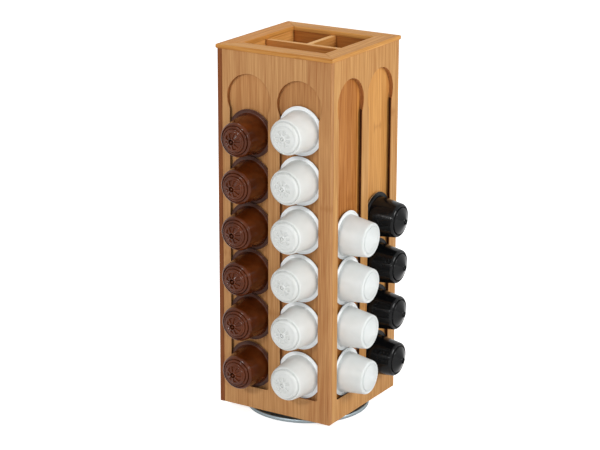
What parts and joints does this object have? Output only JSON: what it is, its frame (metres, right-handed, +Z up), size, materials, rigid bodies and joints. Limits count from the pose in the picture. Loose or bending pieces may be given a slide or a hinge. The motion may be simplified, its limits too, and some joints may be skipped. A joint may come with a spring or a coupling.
{
  "type": "coffee capsule dispenser",
  "caption": "Square bamboo tower on a ball-bearing turntable, with keyhole channels that hold coffee capsules by the flange and an open compartment tray on top.",
  "frame": {"origin": "centre of the non-slip pad's underside, on the turntable's axis, at the table", "axes": "+Z up along the turntable's axis; -Y is the front face with the brown and the wide white capsules; +X is the face with the slim white and the black capsules"},
  "size_m": [0.1834, 0.1846, 0.43],
  "materials": {
    "bamboo": "satin lacquered bamboo, strips on edge with the grain upright",
    "plate_steel": "plated pressed steel, satin",
    "fastener_steel": "zinc plated",
    "rubber": "matt",
    "brown_plastic": "glossy moulded",
    "white_plastic": "satin moulded",
    "black_plastic": "glossy moulded"
  },
  "bodies": {
    "base": {"non_slip_pad": "rubber", "turntable_lower_plate": "plate_steel", "turntable_rivet": "fastener_steel"},
    "ball_ring": {"ball_cage": "fastener_steel"},
    "tower": {"turntable_upper_plate": "plate_steel", "plate_screw_1": "fastener_steel", "plate_screw_2": "fastener_steel", "plate_screw_3": "fastener_steel", "plate_screw_4": "fastener_steel", "bottom_board": "bamboo", "front_panel": "bamboo", "right_panel": "bamboo", "back_panel": "bamboo", "left_panel": "bamboo", "front_backboard": "bamboo", "right_backboard": "bamboo", "back_backboard": "bamboo", "left_backboard": "bamboo", "front_frame_rail": "bamboo", "right_frame_rail": "bamboo", "back_frame_rail": "bamboo", "left_frame_rail": "bamboo", "front_tray_wall": "bamboo", "right_tray_wall": "bamboo", "back_tray_wall": "bamboo", "left_tray_wall": "bamboo", "tray_floor": "bamboo", "tray_long_divider": "bamboo", "tray_cross_divider": "bamboo", "brown_capsule_1": "brown_plastic", "brown_capsule_2": "brown_plastic", "brown_capsule_3": "brown_plastic", "brown_capsule_4": "brown_plastic", "brown_capsule_5": "brown_plastic", "white_capsule_1": "white_plastic", "white_capsule_2": "white_plastic", "white_capsule_3": "white_plastic", "white_capsule_4": "white_plastic", "white_capsule_5": "white_plastic", "slim_white_capsule_1": "white_plastic", "slim_white_capsule_2": "white_plastic", "slim_white_capsule_3": "white_plastic", "black_capsule_1": "black_plastic", "black_capsule_2": "black_plastic", "black_capsule_3": "black_plastic"},
    "top_brown_capsule": {"brown_capsule_6": "brown_plastic"},
    "top_white_capsule": {"white_capsule_6": "white_plastic"},
    "top_slim_white_capsule": {"slim_white_capsule_4": "white_plastic"},
    "top_black_capsule": {"black_capsule_4": "black_plastic"}
  },
  "joints": [
    {"name": "turn", "type": "hinge", "parent": "base", "child": "tower", "pos_m": [0, 0, 0.01], "axis": [0, 0, 1], "continuous": true},
    {"name": "ball_ring_turn", "type": "hinge", "parent": "base", "child": "ball_ring", "pos_m": [0, 0, 0.0069], "axis": [0, 0, 1], "continuous": true},
    {"name": "brown_capsule_lift", "type": "slide", "parent": "tower", "child": "top_brown_capsule", "axis": [0, 0, 1], "range_m": [0, 0.0394]},
    {"name": "white_capsule_lift", "type": "slide", "parent": "tower", "child": "top_white_capsule", "axis": [0, 0, 1], "range_m": [0, 0.0277]},
    {"name": "slim_white_capsule_lift", "type": "slide", "parent": "tower", "child": "top_slim_white_capsule", "axis": [0, 0, 1], "range_m": [0, 0.1491]},
    {"name": "black_capsule_lift", "type": "slide", "parent": "tower", "child": "top_black_capsule", "axis": [0, 0, 1], "range_m": [0, 0.1435]}
  ],
  "couplings": [
    {"joint": "ball_ring_turn", "follows": "turn", "ratio": 0.5}
  ]
}
